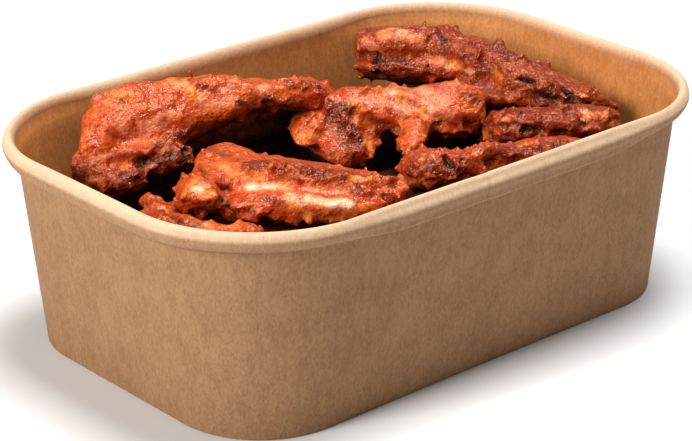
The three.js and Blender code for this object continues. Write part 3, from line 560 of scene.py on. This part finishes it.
def lobe(spec, seed, around=36, along=26):
    """A tapered egg: rings along a straight line from one end to the other.

    At angle v from 0 to pi along it, a ring stands at (1 - cos v) / 2 of the way and is sin(v) ** bluntness
    of its full size. A ring is a rounded box, made of cos and sin to the power 0.85, and low noise swells it.
    """
    start, end, width, height, roll, blunt = (np.array(v, float) for v in spec)
    v = np.pi * np.arange(1, along) / along
    s = ((1 - np.cos(v)) / 2)[:, None]
    centre = start + (end - start) * s
    tangent = unit(end - start)
    side = unit(np.cross((0, 0, 1.0), tangent))
    rise = np.cross(tangent, side)
    turn = math.radians(roll)
    across = side * math.cos(turn) + rise * math.sin(turn)
    upward = rise * math.cos(turn) - side * math.sin(turn)
    full = np.sin(v)[:, None] ** blunt
    half_width, half_height = ((w[0] + (w[1] - w[0]) * s) / 2 * full for w in (width, height))
    a = 2 * np.pi * np.arange(around) / around
    boxed_cos, boxed_sin = (np.sign(t) * np.abs(t) ** 0.85 for t in (np.cos(a), np.sin(a)))
    offset = across * (half_width * boxed_cos)[..., None] + upward * (half_height * boxed_sin)[..., None]
    points = centre[:, None] + offset
    swell = LUMP_HEIGHT * full * smooth_noise(points, LUMP_SIZE, seed)
    return skin_over_rings(points + unit(offset) * swell[..., None], np.array((start, end)))


def balls(centres, radii, around=10, along=7):
    """A ball at each centre: one grid of angles, scaled and moved to all of them at once."""
    v = np.pi * np.arange(1, along) / along
    a = 2 * np.pi * np.arange(around) / around
    radius, height = np.sin(v)[:, None], -np.cos(v)[:, None]
    ring = np.stack(np.broadcast_arrays(radius * np.cos(a), radius * np.sin(a), height), -1)
    points, faces = skin_over_rings(ring, np.array(((0, 0, -1.0), (0, 0, 1.0))))
    placed = centres[:, None] + points * radii[:, None, None]
    steps = np.arange(len(centres))[:, None, None] * len(points)
    return placed.reshape(-1, 3), (faces[None] + steps).reshape(-1, 3)


def distance_to(points, a, b):
    """The distance from each point to the stretch from a to b."""
    a, b = np.array(a, float), np.array(b, float)
    t = np.clip(((points - a) @ (b - a)) / max((b - a) @ (b - a), 1e-9), 0, 1)
    return np.linalg.norm(points - a - t[:, None] * (b - a), axis=1)


def marked(points, marks, ragged, seed):
    """The strongest of the marks at each point.

    A mark is 1 near its line and 0 past 1.5 times its radius, and two noises make its edge ragged.
    """
    edge = ragged * (smooth_noise(points, 2.4, seed) + 0.8 * smooth_noise(points, 1.0, seed + 1))
    strength = np.zeros(len(points))
    for mark in marks:
        away = distance_to(points, mark[:3], mark[3:6]) / mark[6]
        strength = np.maximum(strength, eased(1.5, 0.1, away + edge))
    return strength


def normals_of(points, quads):
    """The outward normal at each point: the sum of its faces' normals, each the cross of its diagonals."""
    corner = points[quads]
    face = np.cross(corner[:, 2] - corner[:, 0], corner[:, 3] - corner[:, 1])
    total = np.stack([np.bincount(quads.ravel(), np.repeat(face[:, k], 4), len(points)) for k in range(3)], 1)
    return unit(total)


def evened(points, edges, rounds, share=0.6):
    """Each point moved a share of the way to the mean of its neighbours, several times."""
    first, second = edges.T
    count = np.bincount(edges.ravel(), minlength=len(points))[:, None]
    for _ in range(rounds):
        total = np.stack([np.bincount(first, column[second], len(points)) +
                          np.bincount(second, column[first], len(points)) for column in points.T], 1)
        points = points + share * (total / np.maximum(count, 1) - points)
    return points


def fused(name, points, faces, voxel, rounds):
    """One skin round overlapping closed shapes: a voxel remesh, then evened.

    Gives the mesh, its evened points, their normals and the mesh's edges.
    """
    raw = bpy.data.objects.new(name, mesh_of(name, points, faces))
    bpy.context.scene.collection.objects.link(raw)
    remesh = raw.modifiers.new("fuse", "REMESH")
    remesh.mode, remesh.voxel_size = "VOXEL", voxel * MM
    mesh = bpy.data.meshes.new_from_object(raw.evaluated_get(bpy.context.evaluated_depsgraph_get()))
    bpy.data.objects.remove(raw)
    mesh.name = name
    edges = np.empty(len(mesh.edges) * 2, np.int32)
    mesh.edges.foreach_get("vertices", edges)
    quads = np.empty(len(mesh.loops), np.int32)
    mesh.loops.foreach_get("vertex_index", quads)
    quads, edges = quads.reshape(-1, 4), edges.reshape(-1, 2)
    made = evened(points_of(mesh), edges, rounds)
    return mesh, made, normals_of(made, quads), edges


def put_back(mesh, points):
    mesh.vertices.foreach_set("co", (points * MM).ravel())
    mesh.update()


def crumbs(points, amount, how_many, seed):
    """Balls with radii of 0.8 to 1.5 mm, half sunk in the skin, at points drawn by its crumbliness."""
    draw = np.random.default_rng(seed)
    chosen = draw.choice(len(points), how_many, p=amount / amount.sum())
    centres = points[chosen] + draw.normal(0, CRUMB_JITTER, (how_many, 3))
    return balls(centres, draw.uniform(0.9, 1.2, how_many) ** 2.2)


def curl():
    """Balls along the line of the curled tip, which a sine bends, each smaller than the last."""
    t = np.linspace(0, 1, CURL_BALLS)[:, None]
    centres = CURL_FROM * (1 - t) + CURL_TO * t + CURL_BEND * np.sin(np.pi * t)
    return balls(centres, CURL_RADIUS - CURL_TAPER * t[:, 0])


def crumbly_relief(points, seed):
    """Three sizes of pebbles, on points that are warped so that none is round, and a broad noise."""
    loose = warped(points, 0.9, 2.6, seed + 50)
    raised = sum(height * pebbles(loose, size, seed + 10 * k) for k, (height, size) in enumerate(PEBBLES, 1))
    return raised + 0.5 * smooth_noise(points, 7, seed + 40) - 1.5


def skin_relief(points, seed):
    """Folds where broad noise crosses zero, with two finer noises on them."""
    fold = 1 - 2 * np.abs(smooth_noise(warped(points, 1.5, 6, seed + 60), 6.5, seed + 5))
    ripples, grain = smooth_noise(points, 3, seed + 6), smooth_noise(points, 1.4, seed + 8)
    return 0.6 * fold - 0.3 + 0.35 * ripples + 0.15 * grain


def wing(name, spec):
    """A wing: its lobes, knobs and crumbs fused, then relief raised and dents sunk along its normals.

    Its marks are its point attributes, with how crumbly the skin is and how far it stands out.
    """
    seed = spec["seed"]
    lobes = joined([lobe(s, seed) for s in spec["lobes"]])
    crumbly = np.maximum(marked(lobes[0], spec["crust"], CRUST_EDGE, seed), CRUMB[name] ** 2 * 0.5)
    knobs = np.array(spec["knobs"])
    parts = [lobes, balls(knobs[:, :3], knobs[:, 3]), crumbs(lobes[0], crumbly, CRUMB_COUNT, seed)]
    if name == "wing_left_skin_on":
        parts.append(curl())
    mesh, skin, normal, edges = fused(name, *joined(parts), VOXEL, FUSED_ROUNDS)
    marks = {kind: marked(skin, spec[kind], MARK_EDGE, seed + 7 * k) for k, kind in enumerate(KINDS)}
    crumbly = np.maximum(CRUMB[name], marks["crust"]) - 0.7 * marks["fat"] - 0.5 * marks["pale"]
    crumbly = np.clip(crumbly, LEAST_CRUMB, 1)
    relief = crumbly * crumbly_relief(skin, seed) + (1 - crumbly) * skin_relief(skin, seed) - SUNK
    for *ends, radius, depth in spec["dents"]:
        relief -= depth * eased(1.6, 0, distance_to(skin, ends[:3], ends[3:]) / (radius + 0.3))
    spread = np.repeat(relief[:, None], 3, 1)
    relief, around = (evened(spread, edges, rounds)[:, 0] for rounds in (1, 9))
    marks["crumb"] = crumbly
    # raised drives painted light and shade: the material makes what stands out lighter and its hollows
    # darker.
    marks["raised"] = np.clip(0.5 + 1.3 * (relief - around), 0, 1)
    made = evened(skin + normal * relief[:, None], edges, SKIN_ROUNDS, SKIN_SHARE)
    return mesh, kept_in_the_tray(made, CLEARANCE), normal, marks


def heap():
    """The wings underneath, fused: lobes whose ends are shifted by seeded jitter, roughened by pebbles."""
    def shift(n, reach=HEAP_JITTER):
        return float(reach * grid_value(np.array((n, 3, 5)), HEAP_SEED))

    lobes, far_end, z = [], ACROSS["reach"], ACROSS["z"]
    for n, x in enumerate(ACROSS["xs"]):
        lobes.append(((x + shift(n), -far_end, z), (x + shift(n + 10), far_end, z), *HEAP_SIZE))
    overlap, far_end, z = ALONG["overlap"], ALONG["reach"], ALONG["z"]
    for n, y in enumerate(ALONG["ys"]):
        for side in (-1, 1):
            start = (-side * overlap, y + shift(n + 20), z + shift(n + 30, HEAP_RISE))
            end = (side * far_end, y + shift(n + 40 + side), z + shift(n + 50 + side, HEAP_RISE))
            lobes.append((start, end, *HEAP_SIZE))
    overlap, far_end, y, z = NEAR_ROW["overlap"], NEAR_ROW["reach"], NEAR_ROW["y"], NEAR_ROW["z"]
    for side in (-1, 1):
        start = (-side * overlap, y, z + shift(60 + side, HEAP_RISE))
        lobes.append((start, (side * far_end, y, z + shift(70 + side, HEAP_RISE)), *NEAR_SIZE))
    lobes.append((*FAR_WING, *FAR_SIZE))
    shapes = joined([lobe((*spec, 0, HEAP_BLUNTNESS), HEAP_SEED) for spec in lobes])
    mesh, skin, normal, _ = fused("wings_underneath", *shapes, HEAP_VOXEL, HEAP_ROUNDS)
    relief = crumbly_relief(skin / 1.5, HEAP_SEED) * HEAP_ROUGHNESS
    zeros = np.zeros(len(skin))
    # raised drives painted light and shade here too: lighter on what stands out, darker in hollows.
    marks = dict.fromkeys(KINDS, zeros) | dict(crumb=zeros + HEAP_CRUMB, raised=np.clip(relief + 0.9, 0, 1))
    return mesh, kept_in_the_tray(skin + normal * relief[:, None], CLEARANCE), normal, marks


def depth_among(points):
    """A function of places, which gives how deep each lies among the food.

    That is below the food's highest point in each square millimetre, or OPEN_HEIGHT where there is no food,
    smoothed by a bell curve.
    """
    shape = (int(RIM["length"]), int(RIM["width"]))

    def cell_of(places):
        cells = (np.round(places[:, k] + shape[k] / 2).astype(int) for k in (0, 1))
        return tuple(np.clip(cell, 0, size - 1) for cell, size in zip(cells, shape))

    top = np.zeros(shape)
    np.maximum.at(top, cell_of(points), points[:, 2])
    top[top == 0] = OPEN_HEIGHT
    reach = 3 * PIT_WIDTH
    bell = np.exp(-((np.arange(-reach, reach + 1) / PIT_WIDTH) ** 2) / 2)

    def smoothed(row):
        return np.convolve(np.pad(row, reach, "edge"), bell / bell.sum(), "valid")

    for axis in (0, 1):
        top = np.apply_along_axis(smoothed, axis, top)
    return lambda places: top[cell_of(places)] - places[:, 2]


# ---------------- materials

def tone(red, green, blue):
    """A colour given in bytes, as light: ((c / 255 + 0.055) / 1.055) ** 2.4, or c / 255 / 12.92 when dark."""
    light = [c / 255 / 12.92 if c < 10.3 else ((c / 255 + 0.055) / 1.055) ** 2.4 for c in (red, green, blue)]
    return (*light, 1)


class Value:
    """A node's output. Arithmetic on it adds Math nodes."""

    def __init__(self, look, socket):
        self.look, self.socket = look, socket

    def maths(self, operation, a, b=0.0, clamped=False):
        return self.look.node("ShaderNodeMath", dict(operation=operation, use_clamp=clamped), {0: a, 1: b})

    def __add__(self, other):
        return self.maths("ADD", self, other)

    def __sub__(self, other):
        return self.maths("SUBTRACT", self, other)

    def __rsub__(self, other):
        return self.maths("SUBTRACT", other, self)

    def __mul__(self, other):
        return self.maths("MULTIPLY", self, other)

    __radd__, __rmul__ = __add__, __mul__

    def clamped(self):
        return self.maths("ADD", self, 0.0, True)

    def eased(self, low, high):
        """0 below low, 1 above high and smoothstep between."""
        return self.look.node("ShaderNodeMapRange", dict(interpolation_type="SMOOTHSTEP"),
                              {"Value": self, "From Min": low, "From Max": high})


class Look:
    """A procedural material, written as expressions on Values."""

    def __init__(self, name):
        self.material = bpy.data.materials.new(name)
        self.material.use_nodes = True
        self.tree = self.material.node_tree
        self.tree.nodes.clear()
        self.place = self.node("ShaderNodeTexCoord", {}, {}, "Object")

    def node(self, kind, settings, inputs, output=0):
        """One node: its settings first, then the value or link of each input."""
        made = self.tree.nodes.new(kind)
        for key, value in settings.items():
            setattr(made, key, value)
        for key, value in inputs.items():
            if isinstance(value, Value):
                self.tree.links.new(value.socket, made.inputs[key])
            else:
                made.inputs[key].default_value = value
        return Value(self, made.outputs[output])

    def attribute(self, name):
        return self.node("ShaderNodeAttribute", dict(attribute_name=name), {}, "Fac")

    def mix(self, share, a, b):
        """The colour that is (1 - share) a + share b."""
        return self.node("ShaderNodeMix", dict(data_type="RGBA"), {0: share, 6: a, 7: b}, 2)

    def darkened(self, colour, factor):
        """The colour times a number."""
        return self.node("ShaderNodeVectorMath", dict(operation="SCALE"), {0: colour, "Scale": factor})

    def stretched(self, scale):
        return self.node("ShaderNodeMapping", {}, {"Vector": self.place, "Scale": scale})

    def noise(self, scale, detail=3.0, place=None, roughness=0.55):
        return self.node("ShaderNodeTexNoise", {}, {
            "Vector": place or self.place, "Scale": scale, "Detail": detail, "Roughness": roughness})

    def grains(self, scale, place=None):
        """The distance to the nearest grain's middle, in cells."""
        return self.node("ShaderNodeTexVoronoi", {}, {"Vector": place or self.place, "Scale": scale})

    def finish(self, colour, roughness, height, strength, depth, **uniform):
        """The shader: colour, roughness and a bump of a height field, and uniform sockets by name."""
        bump = self.node("ShaderNodeBump", {}, {"Strength": strength, "Distance": depth, "Height": height})
        sockets = {"Base Color": colour, "Roughness": roughness, "Normal": bump, **uniform}
        shader = self.node("ShaderNodeBsdfPrincipled", {}, sockets)
        return self.end(shader)

    def end(self, shader):
        output = self.tree.nodes.new("ShaderNodeOutputMaterial")
        self.tree.links.new(shader.socket, output.inputs["Surface"])
        return self.material


KRAFT, KRAFT_SHADE = tone(168, 127, 90), tone(140, 102, 68)
# The inside's tones: the lining's own warm colour, partly painted warm bounce light from the food.
KRAFT_LINED_AND_BOUNCE, KRAFT_LINED_AND_BOUNCE_DEEP = tone(220, 152, 88), tone(192, 122, 62)
# The rim's tones: the board's, made paler by painted light on the roll's top.
KRAFT_RIM_LIT, KRAFT_RIM_LIT_DARK, KRAFT_FLECK = tone(221, 186, 152), tone(203, 168, 134), tone(120, 88, 58)

SKIN_RED, SKIN_ORANGE, SKIN_DEEP = tone(184, 56, 18), tone(210, 92, 32), tone(92, 24, 8)
CRUST_RED, CRUST_BROWN = tone(156, 52, 20), tone(98, 36, 14)
FAT_ORANGE, FAT_YELLOW = tone(216, 104, 38), tone(232, 144, 68)
PALE_PINK, PALE_CREAM = tone(238, 160, 120), tone(252, 222, 184)
# The near-black tone is painted shade for gaps, undersides, holes and creases.
PAINTED_SHADE_BLACK, SPICE, SHEEN = tone(16, 6, 4), tone(70, 20, 10), tone(255, 220, 190)


def kraft(name):
    """Kraft board: fine fibres and faint clouds in its tone, paler on the rim, warmer and smoother inside."""
    look = Look(name)
    inside, rim = look.attribute("inside"), look.attribute("rim")
    fibres = look.noise(1700, 4, look.stretched((1, 1, 0.55)), 0.75)
    streaks, clouds = look.noise(620, 2, look.stretched((1, 1, 0.25))), look.noise(110, 3)
    mottle = (0.6 * fibres + 0.2 * streaks + 0.2 * clouds).eased(0.36, 0.64)
    outer = look.mix(mottle, KRAFT_SHADE, KRAFT)
    # Inside, the warmer tone is partly the lining's own and partly painted bounce light from the food.
    lined_and_bounce = look.mix(mottle, KRAFT_LINED_AND_BOUNCE_DEEP, KRAFT_LINED_AND_BOUNCE)
    # The rim's paler tone is painted light on the roll's top.
    edge = look.mix(mottle, KRAFT_RIM_LIT_DARK, KRAFT_RIM_LIT)
    colour = look.mix(rim, look.mix(inside, outer, lined_and_bounce), edge)
    flecks = look.grains(700, look.stretched((1, 1, 0.5)))
    colour = look.mix(0.3 * (1 - flecks.eased(0.05, 0.16)), colour, KRAFT_FLECK)
    return look.finish(colour, 0.8 - 0.3 * inside + 0.1 * clouds, fibres + 0.4 * streaks, 0.2, 0.0002,
                       **{"Specular IOR Level": 0.3})


def sauced(name, gloss):
    """Meat under sauce: skin tones by broad noise, then fat, crust, pale skin partly painted as highlights,
    deep sauce, specks and painted shade in holes and creases.

    What stands above its surroundings is painted lighter, the grain's crevices darker, and what lies deep
    among the food or faces down is painted dark: all painted light and shade.
    """
    look = Look(name)
    fat, pale, deep, dark = (look.attribute(key) for key in ("fat", "pale", "deep", "dark"))
    crumb, raised, under = (look.attribute(key) for key in ("crumb", "raised", "under"))
    broad, patchy, minced = look.noise(150, 3), look.noise(450, 4), look.noise(950, 2)
    fine = look.noise(2000, 3, roughness=0.6)
    speckle = fine.eased(0.34, 0.66)
    spice = look.grains(800)
    colour = look.mix((0.45 * broad + 0.4 * patchy + 0.15 * minced).eased(0.4, 0.6), SKIN_RED, SKIN_ORANGE)
    fatty = (fat * (0.4 + 0.8 * patchy)).clamped()
    colour = look.mix(fatty, colour, look.mix(patchy.eased(0.4, 0.62), FAT_ORANGE, FAT_YELLOW))
    # Crust is browner in its hollows and redder on what stands out: painted shade, with random speckle.
    crusty = look.mix((0.8 * raised + 0.5 * speckle - 0.15).clamped(), CRUST_BROWN, CRUST_RED)
    colour = look.mix((1.5 * crumb - 0.4 + 0.8 * (patchy - 0.5)).clamped(), colour, crusty)
    # Pale marks: pale skin and fat, and on the skin partly painted highlights.
    pale_skin_and_highlights = (pale * (0.1 + patchy + 0.2 * speckle) * (0.6 + 0.5 * fat)).clamped()
    colour = look.mix(pale_skin_and_highlights, colour, look.mix(fat, PALE_PINK, PALE_CREAM))
    colour = look.mix((deep * (0.3 + 0.6 * patchy)).clamped(), colour, SKIN_DEEP)
    # Painted shade: the grain's crevices darkened towards the deep sauce tone.
    crevices = (1 - minced.eased(0.36, 0.54)) * (0.2 + 0.5 * crumb) * (1 - 0.7 * pale)
    colour = look.mix(crevices, colour, SKIN_DEEP)
    colour = look.mix(0.6 * (1 - spice.eased(0.14, 0.26)) * patchy.eased(0.42, 0.6), colour, SPICE)
    # Painted shade: the dark marks lay near black into holes, pockets, creases and under edges.
    colour = look.mix((dark * (0.6 + 0.6 * fine)).clamped(), colour, PAINTED_SHADE_BLACK)
    # Painted shade: near black deep among the food and under the wings.
    colour = look.mix((under * 0.96).clamped(), colour, PAINTED_SHADE_BLACK)
    # Painted light and shade: lighter where the relief stands out, darker in its hollows, with random
    # speckle.
    colour = look.darkened(colour, (1 + (speckle - 0.5) * (0.3 + 0.3 * crumb)) * (0.5 + raised))
    rough = 0.34 + 0.4 * (patchy - 0.5) - 0.14 * crumb - 0.1 * deep + 0.5 * under
    height = (0.9 * minced + 0.1 * fine) * (0.5 + 0.5 * crumb)
    return look.finish(colour, rough, height, 1.0, 0.001, **{
        "Specular IOR Level": gloss, "Specular Tint": SHEEN, "Subsurface Weight": 0.05,
        "Subsurface Radius": (1.0, 0.3, 0.12), "Subsurface Scale": 0.0015})


# ---------------- assembly

wall, wall_marks = tray_wall()
board = kraft("kraft_board")
wall_mesh = mesh_of("tray_wall_sheet", *wall)
shown("tray_wall_sheet", wall_mesh, "tray_wall", board, wall_marks)
wall_mesh.set_sharp_from_angle(angle=SHARP_FROM)
base_mesh = mesh_of("tray_floor", *tray_base())
zeros = np.zeros(len(base_mesh.vertices))
shown("tray_floor", base_mesh, "tray_base", board, dict(inside=zeros + 1, rim=zeros))
base_mesh.set_sharp_from_angle(angle=SHARP_FROM)

sauce, shaded_sauce = sauced("sauced_meat", 0.65), sauced("sauced_meat_underneath", 0.15)
food = {}
for wing_name, wing_spec in WINGS.items():
    food[wing_name] = wing(wing_name, wing_spec)
food["wings_underneath"] = heap()
depth_of = depth_among(np.concatenate([made for _, made, _, _ in food.values()]))
for food_name, (mesh, made, normal, marks) in food.items():
    underneath = food_name == "wings_underneath"
    # The under attribute is painted shade: dark deep among the food and where the skin faces down.
    sunk = eased(*(HEAP_PIT if underneath else PIT), depth_of(made))
    marks["under"] = np.clip(sunk + DOWN_SHARE * eased(*FACING_DOWN, normal[:, 2]), 0, 1)
    put_back(mesh, made)
    if underneath:
        shown(food_name, mesh, food_name, shaded_sauce, marks)
    else:
        shown(food_name, mesh, food_name, sauce, marks)

# ---------------- floor, light and camera

FLOOR_REACH, FLOOR_DROP, FLOOR_TONE = 4, 0.0002, 0.74
SOFTBOX_AIM = (0, 0, 0.03)
STUDIO_LIGHT = 0.22

# The camera's place, its axes to the right, up and back, and its focal length in widths of the picture,
# fitted to the tray's outline in the photo.
CAMERA_PLACE = (-0.38801, -0.43983, 0.27247)
CAMERA_AXES = (0.75146, -0.65977, -0.00320), (0.25996, 0.29162, 0.92053), (-0.60640, -0.69258, 0.39065)
FOCAL_LENGTH, SENSOR_WIDTH = 2450.9 / 692, 36
CLIP_START, CLIP_END = 0.01, 20

scene = bpy.context.scene
floor_look = Look("pale_floor")
floor_shader = floor_look.node("ShaderNodeBsdfPrincipled", {}, {
    "Base Color": (FLOOR_TONE, FLOOR_TONE, FLOOR_TONE, 1), "Roughness": 0.9, "Specular IOR Level": 0.1})
floor_look.end(floor_shader)
floor_mesh = bpy.data.meshes.new("floor")
floor_signs = ((-1, -1), (1, -1), (1, 1), (-1, 1))
floor_corners = [(FLOOR_REACH * x, FLOOR_REACH * y, -FLOOR_DROP) for x, y in floor_signs]
floor_mesh.from_pydata(floor_corners, [], [(0, 1, 2, 3)])
floor_mesh.materials.append(floor_look.material)
floor = bpy.data.objects.new("floor", floor_mesh)
scene.collection.objects.link(floor)


def softbox(name, place, size, power, colour):
    """A square light at a place, facing the tray."""
    light = bpy.data.lights.new(name, "AREA")
    light.size, light.energy, light.color = size, power, colour
    lamp = bpy.data.objects.new(name, light)
    scene.collection.objects.link(lamp)
    lamp.location = place
    lamp.rotation_mode = "QUATERNION"
    lamp.rotation_quaternion = (Vector(SOFTBOX_AIM) - Vector(place)).to_track_quat("-Z", "Y")


softbox("key_from_the_left", (-1.3, 0.1, 0.75), size=0.5, power=19, colour=(1, 0.98, 0.95))
softbox("light_from_above", (0.22, -0.02, 1.4), size=0.6, power=24, colour=(1, 1, 1))

world = bpy.data.worlds.new("studio")
world.use_nodes = True
background = world.node_tree.nodes["Background"]
background.inputs["Color"].default_value = (1, 1, 1, 1)
background.inputs["Strength"].default_value = STUDIO_LIGHT
scene.world = world
scene.view_settings.view_transform = "Standard"

camera_data = bpy.data.cameras.new("camera")
camera_data.sensor_width = SENSOR_WIDTH
camera_data.lens = FOCAL_LENGTH * SENSOR_WIDTH
camera_data.clip_start, camera_data.clip_end = CLIP_START, CLIP_END
camera = bpy.data.objects.new("camera", camera_data)
camera.matrix_world = Matrix((*zip(*CAMERA_AXES, CAMERA_PLACE), (0, 0, 0, 1)))
scene.collection.objects.link(camera)
scene.camera = camera
